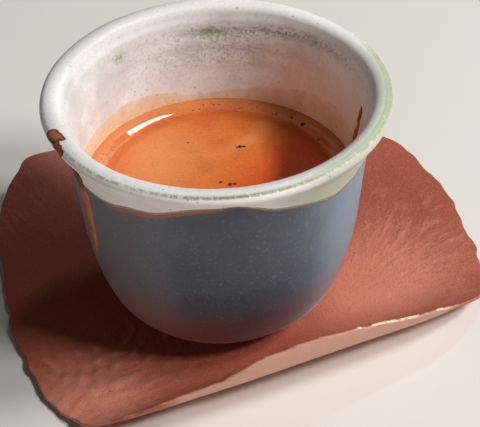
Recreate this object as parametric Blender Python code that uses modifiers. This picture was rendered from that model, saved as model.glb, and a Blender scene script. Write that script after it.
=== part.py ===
"""Espresso in a handleless thrown cup, on a thin curled clay saucer.

Lengths at the top are in millimetres and are turned to metres by MM. The origin is on the table,
under the cup's axis. The viewer's side is -Y, and +Z is up.
"""
import math

import bmesh
import bpy

MM = 0.001
GAP = 0.3
MERGE = 0.00001

# cup, heights from its own base
RIM_RADIUS = 37.3
LIP_WIDTH = 4.5
LIP_DEPTH = 2.4
CUP_HEIGHT = 56.4
BASE_RADIUS = 13.5
CUP_FLOOR = 3.8
COFFEE_LEVEL = 33.0
CUP_STEPS = 72
LIP_STEPS = 6
COFFEE_STEPS = 60
POINTS_A_SPAN = 2

# meniscus, where the crema climbs the wall
MENISCUS_WIDTH = 3.2
MENISCUS_RISE = 0.7
MENISCUS_SHARES = (1.0, 0.65, 0.3, 0.0)
MENISCUS_FOOT = 1.0
FLOOR_REACH = 18.0

# saucer
SLAB = 1.8
EDGE_SHARE = 0.45
EDGE_BAND = 0.12
SAUCER_CENTRE = (3.6, 5.5)
TROUGH_ANGLE = math.radians(23.5)
FRONT_FLAT = 17.3
FRONT_BEND = 22.0
BACK_FLAT = 20.0
BACK_BEND = 60.0
SAUCER_STEPS = 80
SAUCER_RINGS = 11
RING_CROWDING = 1.25

CUP_Z = SLAB + GAP

# outside of the wall from base to under the lip, as (radius, height)
OUTER_WALL = (
    (BASE_RADIUS, 0.0),
    (16.8, 0.45),
    (20.9, 3.3),
    (24.9, 7.7),
    (27.6, 14.3),
    (29.7, 23.2),
    (30.9, 33.1),
    (32.1, 43.0),
    (33.7, 48.6),
    (35.5, 52.4),
    (36.8, 54.3),
)

# inside of the wall from the middle of the floor to under the lip
INNER_WALL = (
    (0.0, CUP_FLOOR),
    (11.0, 4.3),
    (17.5, 6.0),
    (21.9, 9.3),
    (25.2, 14.6),
    (27.8, 23.2),
    (29.2, 33.1),
    (30.3, 43.0),
    (31.6, 48.6),
    (32.6, 52.4),
    (32.9, 54.3),
)

# the saucer's hand-cut outline before it is bent: degrees from the trough's axis, radius
OUTLINE = (
    (0, 57.7),
    (14, 61.3),
    (27, 64.0),
    (55, 59.8),
    (84, 55.0),
    (108, 55.8),
    (122, 62.6),
    (136, 60.0),
    (152, 54.8),
    (172, 53.2),
    (190, 54.8),
    (206, 57.8),
    (220, 58.5),
    (238, 50.6),
    (258, 50.6),
    (290, 49.2),
    (322, 56.0),
    (343, 56.2),
)

# small ripples that the knife left in that outline: waves in a turn, height
CUT_RIPPLES = ((13, 0.2), (19, 0.2), (27, 0.15))


def clear_objects():
    """Start from an empty file."""
    for old in list(bpy.data.objects):
        bpy.data.objects.remove(old, do_unlink=True)


def principled(name, colour, roughness, coat=0.0):
    """A plain material of one colour."""
    material = bpy.data.materials.new(name)
    material.use_nodes = True
    shader = material.node_tree.nodes["Principled BSDF"]
    shader.inputs["Base Color"].default_value = (*colour, 1.0)
    shader.inputs["Roughness"].default_value = roughness
    shader.inputs["Metallic"].default_value = 0.0
    shader.inputs["Coat Weight"].default_value = coat
    return material


def catmull_rom(a, b, c, d, t):
    """A value between b and c, at share t, on the smooth curve through all four."""
    return 0.5 * (
        2 * b + (c - a) * t + (2 * a - 5 * b + 4 * c - d) * t ** 2
        + (3 * b - a - 3 * c + d) * t ** 3
    )


def curve_through(points):
    """Points on a smooth curve through the given ones."""
    first = tuple(2 * a - b for a, b in zip(points[0], points[1]))
    last = tuple(2 * a - b for a, b in zip(points[-1], points[-2]))
    padded = [first, *points, last]
    result = []
    for index in range(len(points) - 1):
        corners = padded[index:index + 4]
        for step in range(POINTS_A_SPAN):
            t = step / POINTS_A_SPAN
            result.append(tuple(catmull_rom(*values, t) for values in zip(*corners)))
    result.append(tuple(points[-1]))
    return result


def radius_at(profile, height):
    """Radius of a rising profile at a height."""
    for (r0, z0), (r1, z1) in zip(profile, profile[1:]):
        if z0 <= height <= z1:
            return r0 + (r1 - r0) * (height - z0) / (z1 - z0)
    return profile[-1][0]


def turned(name, profile, lift, steps, material, home):
    """Turn a profile of (radius, height) about Z. It runs down its outer side."""
    mesh = bpy.data.meshes.new(name)
    shape = bmesh.new()
    verts = [shape.verts.new((radius * MM, 0.0, (height + lift) * MM)) for radius, height in profile]
    for upper, lower in zip(verts, verts[1:]):
        shape.edges.new((upper, lower))
    shape.to_mesh(mesh)
    shape.free()
    piece = bpy.data.objects.new(name, mesh)
    home.objects.link(piece)
    screw = piece.modifiers.new("turn", "SCREW")
    screw.axis = "Z"
    screw.angle = 2 * math.pi
    screw.steps = steps
    screw.render_steps = steps
    screw.use_merge_vertices = True
    screw.merge_threshold = MERGE
    screw.use_smooth_shade = True
    mesh.materials.append(material)
    return piece


def build_cup(home):
    """The thrown wall, its floor and the rolled lip, as one closed turned solid."""
    half_width = LIP_WIDTH / 2
    half_depth = LIP_DEPTH / 2
    lip = []
    for step in range(LIP_STEPS + 1):
        angle = math.pi * step / LIP_STEPS
        radius = RIM_RADIUS - half_width - half_width * math.cos(angle)
        lip.append((radius, CUP_HEIGHT - half_depth + half_depth * math.sin(angle)))
    profile = curve_through(INNER_WALL) + lip + curve_through(OUTER_WALL)[::-1] + [(0.0, 0.0)]
    material = principled("glazed stoneware", (0.16, 0.18, 0.20), 0.35, 0.3)
    turned("cup", profile, CUP_Z, CUP_STEPS, material, home)


def build_espresso(home):
    """The coffee with its crema, from the cup's floor to its level, clear of the wall."""
    wall = curve_through(INNER_WALL)
    side = []
    for radius, height in wall:
        if height < COFFEE_LEVEL - MENISCUS_FOOT:
            clear_of_floor = GAP if radius < FLOOR_REACH else 0.0
            side.append((max(radius - GAP, 0.0), height + clear_of_floor))
    edge_radius = radius_at(wall, COFFEE_LEVEL + MENISCUS_RISE) - GAP
    top = [(0.0, COFFEE_LEVEL)]
    for share in MENISCUS_SHARES:
        rise = MENISCUS_RISE * (1.0 - share) ** 2
        top.append((edge_radius - MENISCUS_WIDTH * share, COFFEE_LEVEL + rise))
    material = principled("espresso with crema", (0.62, 0.22, 0.05), 0.35, 0.2)
    turned("espresso", top + side[::-1], CUP_Z, COFFEE_STEPS, material, home)


def outline_radius(angle):
    """The saucer's radius before it is bent, at an angle from the trough's axis."""
    degrees = math.degrees(angle) % 360.0
    count = len(OUTLINE)
    index = max(i for i in range(count) if OUTLINE[i][0] <= degrees)
    start = OUTLINE[index][0]
    end = OUTLINE[(index + 1) % count][0] + (360 if index == count - 1 else 0)
    corners = [OUTLINE[(index + step) % count][1] for step in (-1, 0, 1, 2)]
    radius = catmull_rom(*corners, (degrees - start) / (end - start))
    return radius + sum(height * math.sin(waves * angle + waves) for waves, height in CUT_RIPPLES)


def bend(reach, flat, radius):
    """Lay a distance from the trough's middle over its flat bottom and then its round side."""
    arc = max(reach - flat, 0.0) / radius
    return min(reach, flat) + radius * math.sin(arc), radius * (1.0 - math.cos(arc))


def on_saucer(share, angle):
    """The middle of the slab at a share of the radius, in millimetres."""
    cos_a = math.cos(TROUGH_ANGLE)
    sin_a = math.sin(TROUGH_ANGLE)
    centre_x, centre_y = SAUCER_CENTRE
    reach = share * outline_radius(angle)
    along = centre_x * cos_a + centre_y * sin_a + reach * math.cos(angle)
    across = centre_y * cos_a - centre_x * sin_a + reach * math.sin(angle)
    if across < 0.0:
        offset, rise = bend(-across, FRONT_FLAT, FRONT_BEND)
        offset = -offset
    else:
        offset, rise = bend(across, BACK_FLAT, BACK_BEND)
    return along * cos_a - offset * sin_a, along * sin_a + offset * cos_a, SLAB / 2 + rise


def build_saucer(home):
    """A hand-cut slab of clay, bent up at the front and back, pinched thin at its edge."""
    mesh = bpy.data.meshes.new("saucer")
    shape = bmesh.new()
    spokes = [shape.verts.new((ring / SAUCER_RINGS, 0.0, 0.0)) for ring in range(SAUCER_RINGS + 1)]
    line = [shape.edges.new(pair) for pair in zip(spokes, spokes[1:])]
    bmesh.ops.spin(
        shape, geom=spokes + line, cent=(0.0, 0.0, 0.0), axis=(0.0, 0.0, 1.0),
        angle=2 * math.pi, steps=SAUCER_STEPS, use_duplicate=False,
    )
    bmesh.ops.remove_doubles(shape, verts=shape.verts[:], dist=MERGE)
    bmesh.ops.recalc_face_normals(shape, faces=shape.faces[:])
    if sum(face.normal.z for face in shape.faces) < 0.0:
        bmesh.ops.reverse_faces(shape, faces=shape.faces[:])
    body_weight = []
    for vert in shape.verts:
        ring = min(math.hypot(vert.co.x, vert.co.y), 1.0)
        angle = math.atan2(vert.co.y, vert.co.x)
        share = 1.0 - (1.0 - ring) ** RING_CROWDING
        vert.co = [value * MM for value in on_saucer(share, angle)]
        body_weight.append(min((1.0 - share) / EDGE_BAND, 1.0))
    for face in shape.faces:
        face.smooth = True
    shape.to_mesh(mesh)
    shape.free()
    saucer = bpy.data.objects.new("saucer", mesh)
    home.objects.link(saucer)
    body = saucer.vertex_groups.new(name="body")
    for index, weight in enumerate(body_weight):
        body.add([index], weight, "REPLACE")
    wall = saucer.modifiers.new("slab", "SOLIDIFY")
    wall.thickness = SLAB * MM
    wall.offset = 0.0
    wall.vertex_group = "body"
    wall.thickness_vertex_group = EDGE_SHARE
    mesh.materials.append(principled("terracotta", (0.42, 0.14, 0.09), 0.65))


def main():
    """Build the three pieces in one collection."""
    clear_objects()
    home = bpy.data.collections.new("espresso_set")
    bpy.context.scene.collection.children.link(home)
    build_saucer(home)
    build_cup(home)
    build_espresso(home)


main()
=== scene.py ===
"""Looks of an espresso: its crema, its thrown cup with a white flared lip, and a curled clay saucer.

Lengths are written in millimetres and turned to metres by MM. Heights on the cup are counted from its
own base, and angles are degrees round the cup's axis from +X towards +Y. The viewer's side is -Y.
"""

import logging
import math
from dataclasses import dataclass
from enum import Enum

import bpy
import numpy as np
from mathutils import Matrix, Vector, noise

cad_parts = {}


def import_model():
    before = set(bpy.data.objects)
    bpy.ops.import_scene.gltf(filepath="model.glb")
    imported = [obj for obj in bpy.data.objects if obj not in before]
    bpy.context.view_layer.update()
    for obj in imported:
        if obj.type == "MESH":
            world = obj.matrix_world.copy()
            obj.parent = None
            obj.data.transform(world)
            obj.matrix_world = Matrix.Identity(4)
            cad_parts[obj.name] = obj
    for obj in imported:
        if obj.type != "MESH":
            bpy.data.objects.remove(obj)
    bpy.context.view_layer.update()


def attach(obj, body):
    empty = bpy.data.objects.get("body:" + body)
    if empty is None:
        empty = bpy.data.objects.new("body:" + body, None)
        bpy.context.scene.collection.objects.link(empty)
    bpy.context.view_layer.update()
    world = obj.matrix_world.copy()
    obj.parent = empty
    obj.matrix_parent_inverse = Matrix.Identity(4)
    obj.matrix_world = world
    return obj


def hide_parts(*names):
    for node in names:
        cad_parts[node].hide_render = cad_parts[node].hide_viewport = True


LOG = logging.getLogger("espresso")

MM = 0.001
SEED = 7

# points of a turned piece that are closer than this become one
MERGE = 0.004

# stands for out of reach, where a mark on the cup is a distance
FAR = 9.0

Pairs = tuple[tuple[float, float], ...]
Triples = tuple[tuple[float, float, float], ...]


class Slot(Enum):
    """Material slots, by name."""

    STONEWARE = "stoneware"
    CREMA = "crema"
    TERRACOTTA = "terracotta"


class Side(Enum):
    """Which side of the cup's wall a thing is on."""

    INSIDE = -1
    OUTSIDE = 1


def linear(code: str) -> tuple[float, float, float, float]:
    """Turn an sRGB hex colour to linear RGBA.

    Args:
        code: Six hex digits after a hash.

    Returns:
        The three linear values, and an opacity of 1.
    """
    values = [int(code[start:start + 2], 16) / 255 for start in (1, 3, 5)]
    curve = [v / 12.92 if v <= 0.04045 else ((v + 0.055) / 1.055) ** 2.4 for v in values]
    return (*curve, 1.0)


def grain(size_mm: float) -> float:
    """Give the scale of a texture on Object coordinates whose features have a real size."""
    return 1.0 / (size_mm * MM)


def wire(tree: bpy.types.NodeTree, node: bpy.types.Node, links: dict) -> None:
    """Link a node's inputs to the sockets given, and set those that get a plain value.

    Args:
        tree: The material's node tree.
        node: The node.
        links: Inputs by name or number, each a socket to link or a value to set.
    """
    for key, value in links.items():
        if isinstance(value, bpy.types.NodeSocket):
            tree.links.new(value, node.inputs[key])
        else:
            node.inputs[key].default_value = value


def add_node(tree: bpy.types.NodeTree, kind: str, links: dict, settings: dict | None = None,
             out: int | str = 0) -> bpy.types.NodeSocket:
    """Add a node with its settings and links.

    Args:
        tree: The material's node tree.
        kind: The node's type name.
        links: Inputs by name or number, each a socket to link or a value to set.
        settings: Properties of the node, by name.
        out: The output to give back, by number or name.

    Returns:
        That output's socket.
    """
    made = tree.nodes.new(kind)
    for name, value in (settings or {}).items():
        setattr(made, name, value)
    wire(tree, made, links)
    return made.outputs[out]


def start_material(name: str) -> tuple[bpy.types.Material, bpy.types.Node, bpy.types.NodeSocket]:
    """Start a material of nodes.

    Args:
        name: The material's name.

    Returns:
        The material, its shader, and the Object coordinates that its patterns are placed by.
    """
    made = bpy.data.materials.new(name)
    made.use_nodes = True
    place = add_node(made.node_tree, "ShaderNodeTexCoord", {}, out="Object")
    return made, made.node_tree.nodes["Principled BSDF"], place


def smooth_step(values: np.ndarray, low: float, high: float) -> np.ndarray:
    """Rise smoothly from 0 at low to 1 at high."""
    share = np.clip((values - low) / (high - low), 0.0, 1.0)
    return share * share * (3.0 - 2.0 * share)


def bump(values: np.ndarray, middle: float, width: float) -> np.ndarray:
    """Give a soft hill of height 1 round a middle value."""
    return np.exp(-(((values - middle) / width) ** 2))


def turn_gap(angles: np.ndarray, middle: float) -> np.ndarray:
    """Give the signed gap in degrees from a middle angle, the short way round."""
    return (angles - middle + 180.0) % 360.0 - 180.0


def near_turn(angles: np.ndarray, middle: float, width: float) -> np.ndarray:
    """Give a soft hill of height 1 round a middle angle, in degrees."""
    return bump(turn_gap(angles, middle), 0.0, width)


def within_turn(angles: np.ndarray, middle: float, full: float, end: float) -> np.ndarray:
    """Give 1 as far as full degrees from a middle angle, falling to 0 at end degrees from it."""
    return 1.0 - smooth_step(np.abs(turn_gap(angles, middle)), full, end)


def waves(angle: np.ndarray, terms: Triples) -> np.ndarray:
    """Add up sine waves round a turn, each given by its count, height and shift in radians."""
    return sum(height * np.sin(count * angle + shift) for count, height, shift in terms)


def round_centre(x: np.ndarray, y: np.ndarray, centre: tuple[float, float]) -> tuple[np.ndarray, np.ndarray]:
    """Give each point's turn in radians round a centre, and its distance from there."""
    return np.arctan2(y - centre[1], x - centre[0]), np.hypot(y - centre[1], x - centre[0])


def clay_noise(points: np.ndarray, size_mm: float, shift: float = 0.0) -> np.ndarray:
    """Give smooth noise from -1 to 1 at points in millimetres, with features of a real size."""
    offset = Vector((shift, shift * 0.7, SEED))
    return np.array([noise.noise(Vector(point) / size_mm + offset) for point in points])


def catmull_rom(a: float, b: float, c: float, d: float, t: np.ndarray | float) -> np.ndarray | float:
    """Give a value on the smooth curve through four values that lie evenly apart.

    Args:
        a: The value before the span.
        b: The value where the span starts.
        c: The value where it ends.
        d: The value after it.
        t: The share of the span that is passed, from 0 to 1.

    Returns:
        The value between b and c.
    """
    return 0.5 * (
        2 * b + (c - a) * t + (2 * a - 5 * b + 4 * c - d) * t ** 2
        + (3 * b - a - 3 * c + d) * t ** 3
    )


def curve_through(points: Pairs, per_span: int) -> list[tuple[float, float]]:
    """Give points on a smooth open curve through the given ones.

    Args:
        points: Pairs of radius and height.
        per_span: How many steps lie between two of them.

    Returns:
        The finer list, with both ends.
    """
    first = tuple(2 * a - b for a, b in zip(points[0], points[1]))
    last = tuple(2 * a - b for a, b in zip(points[-1], points[-2]))
    padded = [first, *points, last]
    result = []
    for index in range(len(points) - 1):
        corners = padded[index:index + 4]
        for step in range(per_span):
            t = step / per_span
            result.append(tuple(catmull_rom(*values, t) for values in zip(*corners)))
    result.append(tuple(points[-1]))
    return result


@dataclass(frozen=True)
class RoundCurve:
    """A smooth closed curve of a value against an angle in degrees, through a few chosen points."""

    points: Pairs

    def at(self, angles: np.ndarray) -> np.ndarray:
        """Read the curve off.

        Args:
            angles: Angles in degrees, of any turn.

        Returns:
            The curve's value at each.
        """
        count = len(self.points)
        first = self.points[0][0]
        turned = (np.asarray(angles, float) - first) % 360.0 + first
        result = np.zeros_like(turned)
        for index, (start, _) in enumerate(self.points):
            end = self.points[(index + 1) % count][0] + (360 if index == count - 1 else 0)
            corners = [self.points[(index + step) % count][1] for step in (-1, 0, 1, 2)]
            here = (turned >= start) & (turned < end)
            result[here] = catmull_rom(*corners, (turned[here] - start) / (end - start))
        return result


@dataclass(frozen=True)
class Patch:
    """A soft oval patch on a flat face, with its middle, its reach each way and its strength."""

    x: float
    y: float
    reach_x: float
    reach_y: float
    strength: float = 1.0

    def at(self, x: np.ndarray, y: np.ndarray) -> np.ndarray:
        """Give the patch's strength at each point."""
        return self.strength * bump(x, self.x, self.reach_x) * bump(y, self.y, self.reach_y)


def deselect_all() -> None:
    """Leave edit mode and clear the selection."""
    if bpy.context.mode != "OBJECT":
        bpy.ops.object.mode_set(mode="OBJECT")
    bpy.ops.object.select_all(action="DESELECT")


def positions(piece: bpy.types.Object) -> np.ndarray:
    """Read a mesh's points.

    Args:
        piece: The object.

    Returns:
        One row of x, y and z a point, in millimetres.
    """
    flat = np.zeros(len(piece.data.vertices) * 3, np.float32)
    piece.data.vertices.foreach_get("co", flat)
    return flat.reshape(-1, 3).astype(float) / MM


def place_points(piece: bpy.types.Object, points: np.ndarray) -> None:
    """Write a mesh's points, given in millimetres."""
    piece.data.vertices.foreach_set("co", (points * MM).astype(np.float32).ravel())
    piece.data.update()


def store(piece: bpy.types.Object, marks: dict[str, np.ndarray]) -> None:
    """Keep numbers on the mesh, one a point, for its material to read.

    Args:
        piece: The object.
        marks: The number at each point, by the name that the material reads.
    """
    for name, values in marks.items():
        attribute = piece.data.attributes.new(name, "FLOAT", "POINT")
        attribute.data.foreach_set("value", values.astype(np.float32))


def lathe(name: str, profile: list[tuple[float, float]], steps: int) -> bpy.types.Object:
    """Turn a profile round Z, as on a wheel.

    Args:
        name: The new object's name.
        profile: Pairs of radius and height in millimetres.
        steps: How many steps a full turn has.

    Returns:
        The turned object, at the origin.
    """
    deselect_all()
    radius, height = profile[0]
    bpy.ops.mesh.primitive_plane_add(size=MM, location=(radius * MM, 0.0, height * MM))
    piece = bpy.context.object
    piece.name = name
    piece.data.name = name
    bpy.ops.object.transform_apply(location=True, rotation=False, scale=False)
    bpy.ops.object.mode_set(mode="EDIT")
    bpy.ops.mesh.select_all(action="SELECT")
    bpy.ops.mesh.merge(type="CENTER")
    for (r0, z0), (r1, z1) in zip(profile, profile[1:]):
        move = ((r1 - r0) * MM, 0.0, (z1 - z0) * MM)
        bpy.ops.mesh.extrude_vertices_move(TRANSFORM_OT_translate={"value": move})
    bpy.ops.mesh.select_all(action="SELECT")
    bpy.ops.mesh.spin(steps=steps, angle=2 * math.pi, center=(0, 0, 0), axis=(0, 0, 1))
    bpy.ops.mesh.select_all(action="SELECT")
    bpy.ops.mesh.remove_doubles(threshold=MERGE * MM)
    bpy.ops.mesh.normals_make_consistent(inside=False)
    bpy.ops.object.mode_set(mode="OBJECT")
    bpy.ops.object.shade_smooth()
    return piece


# Map Range takes a value at 0, the ends it comes between at 1 and 2, and those it goes to at 3 and 4,
# which are 0 and 1 where they aren't given. Math takes its numbers at 0, 1 and 2. Mix in colour takes
# the share at 0, the colour below at 6 and the one above at 7, and gives its result at MIXED.
SOFT = {"interpolation_type": "SMOOTHSTEP"}
RGBA = {"data_type": "RGBA"}
MIXED = 2
TIMES = {"operation": "MULTIPLY"}
PLUS = {"operation": "ADD"}
TIMES_PLUS = {"operation": "MULTIPLY_ADD"}
LARGER = {"operation": "MAXIMUM"}


@dataclass(frozen=True)
class StonewareGlaze:
    """Stoneware, thrown and glazed: satin blue-grey outside, a white glaze over the lip and inside.

    The blue is fired in an uneven, micro-crystalline coat with a soft sheen. Its paleness on the lit right
    and its darkness at the front are painted light and shade, and its mauve at the left and red at the foot
    are painted reflections of the saucer. The white is thicker, mottled by grey specks from iron in the
    clay, and goes green and rust brown where it thins out over the blue; the lip's white is painted lighter
    and duller round the turn as painted light and shade. Coffee has left a tan film inside, and the inside's
    right is painted with warm bounce light from the crema.
    """

    body: str = "#78899C"
    body_dark: str = "#404A55"
    body_painted_reflection: str = "#665F61"
    foot_painted_reflection: str = "#A5685A"
    fleck: str = "#8D96A3"
    dark_fleck: str = "#32373D"
    sheen: str = "#B9C3D6"
    white: str = "#E8EAEC"
    white_dull: str = "#D4D5D6"
    mottle: str = "#B9B2AE"
    lip: str = "#FFFFFF"
    lip_dull: str = "#DAD9D8"
    band: str = "#F8E8E6"
    band_light: str = "#FFFAF8"
    band_green: str = "#B2B6A8"
    green: str = "#B2C0A2"
    deep_green: str = "#7F8C62"
    rust: str = "#A8674C"
    thin_rust: str = "#7E5542"
    smoke: str = "#87807C"
    painted_peach_bounce: str = "#F5C7A4"
    film: str = "#E8C29A"
    film_dark: str = "#DCA87C"
    stain: str = "#6A3722"
    stain_light: str = "#A86C4C"
    speck: str = "#6A625C"
    roughness: float = 0.46

    def material(self) -> bpy.types.Material:
        """Build the glaze's nodes over the marks that the cup keeps.

        Returns:
            The glaze.
        """
        made, shader, place = start_material("glazed_stoneware")
        tree = made.node_tree
        read = {
            name: add_node(tree, "ShaderNodeAttribute", {}, {"attribute_name": name}, "Fac")
            for name in ("arc", "band", "film", "painted_peach_bounce", "moss", "deep_moss", "rusty", "smoke", "stain",
                         "pallor_and_painted_light", "painted_reflection_warmth", "foot", "lip_painted_light_and_shade", "turned_green")
        }
        # cloudy patches of 11 mm from glaze that pooled, crystals that are finer than a pixel and so are
        # drawn 0.7 mm wide, and the ragged 2.2 mm that a glaze runs by at its edge
        patchy, fine, ragged = (
            add_node(tree, "ShaderNodeTexNoise", {
                "Vector": place, "Scale": grain(width), "Detail": detail, "Roughness": rough,
            })
            for width, detail, rough in ((11.0, 4.0, 0.6), (0.7, 2.0, 0.7), (2.2, 5.0, 0.65))
        )
        # streaks 1.5 mm high and some 7 mm long that lie round the cup, from the wheel
        flat = add_node(tree, "ShaderNodeMapping", {"Vector": place, "Scale": (0.22, 0.22, 1.0)})
        streaky = add_node(tree, "ShaderNodeTexNoise", {
            "Vector": flat, "Scale": grain(1.5), "Detail": 6.0, "Roughness": 0.75,
        })
        # specks of iron, one in some 2.6 mm
        specks = add_node(tree, "ShaderNodeTexVoronoi", {
            "Vector": place, "Scale": grain(2.6), "Randomness": 1.0,
        }, out="Distance")
        wobble = add_node(tree, "ShaderNodeMath", {0: ragged, 1: 1.1, 2: -0.55}, TIMES_PLUS)
        band = add_node(tree, "ShaderNodeMath", {0: wobble, 1: 0.5, 2: read["band"]}, TIMES_PLUS)

        # the blue coat, with rust where the white stops; it is painted paler on the lit right and darker at
        # the front as painted light and shade, with painted reflections of the saucer in mauve at the left
        # and red towards the foot
        paleness_and_painted_light = add_node(tree, "ShaderNodeMath", {0: patchy, 1: 0.5, 2: read["pallor_and_painted_light"]}, TIMES_PLUS)
        blue_share = add_node(tree, "ShaderNodeMapRange", {0: paleness_and_painted_light, 1: 0.25, 2: 1.25}, SOFT)
        painted_reflection_warmth = add_node(tree, "ShaderNodeMath", {0: patchy, 1: 0.6, 2: read["painted_reflection_warmth"]}, TIMES_PLUS)
        warm = add_node(tree, "ShaderNodeMapRange", {0: painted_reflection_warmth, 1: 0.35, 2: 1.2}, SOFT)
        foot = add_node(tree, "ShaderNodeMath", {0: read["foot"], 1: 0.7}, TIMES)
        fleck = add_node(tree, "ShaderNodeMapRange", {0: fine, 1: 0.54, 2: 0.74, 3: 0.0, 4: 0.34}, SOFT)
        dark_fleck = add_node(tree, "ShaderNodeMapRange", {0: fine, 1: 0.46, 2: 0.28, 3: 0.0, 4: 0.3}, SOFT)
        rust_line = add_node(tree, "ShaderNodeMapRange", {0: band, 1: -1.0, 2: -0.45, 3: 0.0, 4: 0.85}, SOFT)
        rust_band = add_node(tree, "ShaderNodeMapRange", {0: band, 1: -1.9, 2: -1.3}, SOFT)
        rust_wide = add_node(tree, "ShaderNodeMath", {0: rust_band, 1: read["rusty"]}, TIMES)
        blue = add_node(tree, "ShaderNodeMix", {
            0: blue_share, 6: linear(self.body_dark), 7: linear(self.body),
        }, RGBA, MIXED)
        for share, shade in (
            (warm, self.body_painted_reflection), (foot, self.foot_painted_reflection), (fleck, self.fleck),
            (dark_fleck, self.dark_fleck), (rust_line, self.thin_rust), (rust_wide, self.rust),
        ):
            blue = add_node(tree, "ShaderNodeMix", {0: share, 6: blue, 7: linear(shade)}, RGBA, MIXED)

        # the band of thin white over it, green at its edge
        band_share = add_node(tree, "ShaderNodeMapRange", {0: streaky, 1: 0.35, 2: 0.65}, SOFT)
        green_in = add_node(tree, "ShaderNodeMapRange", {0: band, 1: 0.0, 2: 0.15}, SOFT)
        green_out = add_node(tree, "ShaderNodeMapRange", {0: band, 1: 0.85, 2: 0.35}, SOFT)
        green_edge = add_node(tree, "ShaderNodeMath", {0: green_in, 1: green_out}, TIMES)
        pale = add_node(tree, "ShaderNodeMix", {
            0: band_share, 6: linear(self.band), 7: linear(self.band_light),
        }, RGBA, MIXED)
        for share, shade in ((read["turned_green"], self.band_green), (green_edge, self.deep_green)):
            pale = add_node(tree, "ShaderNodeMix", {0: share, 6: pale, 7: linear(shade)}, RGBA, MIXED)
        over = add_node(tree, "ShaderNodeMapRange", {0: band, 1: -0.05, 2: 0.05}, SOFT)
        outer = add_node(tree, "ShaderNodeMix", {0: over, 6: blue, 7: pale}, RGBA, MIXED)

        # the thick white inside, with smoky streaks, a grey line under the lip at the back that is partly
        # smoke and partly painted shade, painted warm bounce light from the crema on its right, and the film
        # that the coffee left
        dull = add_node(tree, "ShaderNodeMapRange", {0: patchy, 1: 0.42, 2: 0.66}, SOFT)
        mottle = add_node(tree, "ShaderNodeMapRange", {0: fine, 1: 0.5, 2: 0.72, 3: 0.0, 4: 0.35}, SOFT)
        smoke_grain = add_node(tree, "ShaderNodeMath", {0: streaky, 1: fine}, LARGER)
        smoke_share = add_node(tree, "ShaderNodeMapRange", {0: smoke_grain, 1: 0.42, 2: 0.66}, SOFT)
        smoky = add_node(tree, "ShaderNodeMath", {0: read["smoke"], 1: smoke_share}, TIMES)
        film_edge = add_node(tree, "ShaderNodeMath", {0: wobble, 1: 1.8, 2: read["film"]}, TIMES_PLUS)
        film_tone = add_node(tree, "ShaderNodeMapRange", {0: ragged, 1: 0.35, 2: 0.7}, SOFT)
        film_colour = add_node(tree, "ShaderNodeMix", {
            0: film_tone, 6: linear(self.film), 7: linear(self.film_dark),
        }, RGBA, MIXED)
        film_start = add_node(tree, "ShaderNodeMapRange", {0: film_edge, 1: -0.1, 2: 0.4}, SOFT)
        film_depth = add_node(tree, "ShaderNodeMapRange", {
            0: film_edge, 1: -1.0, 2: 5.0, 3: 0.5, 4: 0.95,
        }, SOFT)
        film_share = add_node(tree, "ShaderNodeMath", {0: film_start, 1: film_depth}, TIMES)
        inner = add_node(tree, "ShaderNodeMix", {
            0: dull, 6: linear(self.white), 7: linear(self.white_dull),
        }, RGBA, MIXED)
        for share, shade in (
            (mottle, linear(self.mottle)), (smoky, linear(self.smoke)), (read["painted_peach_bounce"], linear(self.painted_peach_bounce)),
            (film_share, film_colour),
        ):
            inner = add_node(tree, "ShaderNodeMix", {0: share, 6: inner, 7: shade}, RGBA, MIXED)

        # the lip, its white painted lighter at the back right and duller at the front and back left, as
        # painted light and shade
        lip_in = add_node(tree, "ShaderNodeMapRange", {0: read["arc"], 1: -4.2, 2: -1.4}, SOFT)
        lip_grain = add_node(tree, "ShaderNodeMapRange", {0: fine, 1: 0.66, 2: 0.42, 3: -0.2, 4: 0.06}, SOFT)
        lip_share = add_node(tree, "ShaderNodeMath", {0: lip_grain, 1: read["lip_painted_light_and_shade"]}, PLUS)
        lip_colour = add_node(tree, "ShaderNodeMix", {
            0: lip_share, 6: linear(self.lip_dull), 7: linear(self.lip),
        }, RGBA, MIXED)
        crown = add_node(tree, "ShaderNodeMix", {0: lip_in, 6: inner, 7: lip_colour}, RGBA, MIXED)
        lip_edge = add_node(tree, "ShaderNodeMath", {0: wobble, 1: 0.9, 2: read["arc"]}, TIMES_PLUS)
        outside = add_node(tree, "ShaderNodeMapRange", {0: lip_edge, 1: 1.55, 2: 1.95}, SOFT)

        # green and specks on both sides of the lip, and the stain over it
        moss_grain = add_node(tree, "ShaderNodeMapRange", {0: ragged, 1: 0.22, 2: 0.44}, SOFT)
        moss = add_node(tree, "ShaderNodeMath", {0: read["moss"], 1: moss_grain}, TIMES)
        deep_mottle = add_node(tree, "ShaderNodeMath", {0: ragged, 1: 0.7, 2: fine}, TIMES_PLUS)
        deep_grain = add_node(tree, "ShaderNodeMapRange", {
            0: deep_mottle, 1: 0.62, 2: 0.95, 3: 0.15, 4: 1.0,
        }, SOFT)
        deep = add_node(tree, "ShaderNodeMath", {0: read["deep_moss"], 1: deep_grain}, TIMES)
        dots = add_node(tree, "ShaderNodeMapRange", {0: specks, 1: 0.10, 2: 0.05, 3: 0.0, 4: 0.55}, SOFT)
        stain_edge = add_node(tree, "ShaderNodeMath", {0: wobble, 1: 0.7, 2: read["stain"]}, TIMES_PLUS)
        stained = add_node(tree, "ShaderNodeMapRange", {0: stain_edge, 1: -0.08, 2: 0.1}, SOFT)
        stain_tone = add_node(tree, "ShaderNodeMapRange", {0: stain_edge, 1: 0.15, 2: 0.7}, SOFT)
        stain_colour = add_node(tree, "ShaderNodeMix", {
            0: stain_tone, 6: linear(self.stain), 7: linear(self.stain_light),
        }, RGBA, MIXED)
        both = crown
        for share, shade in (
            (outside, outer), (moss, linear(self.green)), (deep, linear(self.deep_green)),
            (dots, linear(self.speck)), (stained, stain_colour),
        ):
            both = add_node(tree, "ShaderNodeMix", {0: share, 6: both, 7: shade}, RGBA, MIXED)

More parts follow.
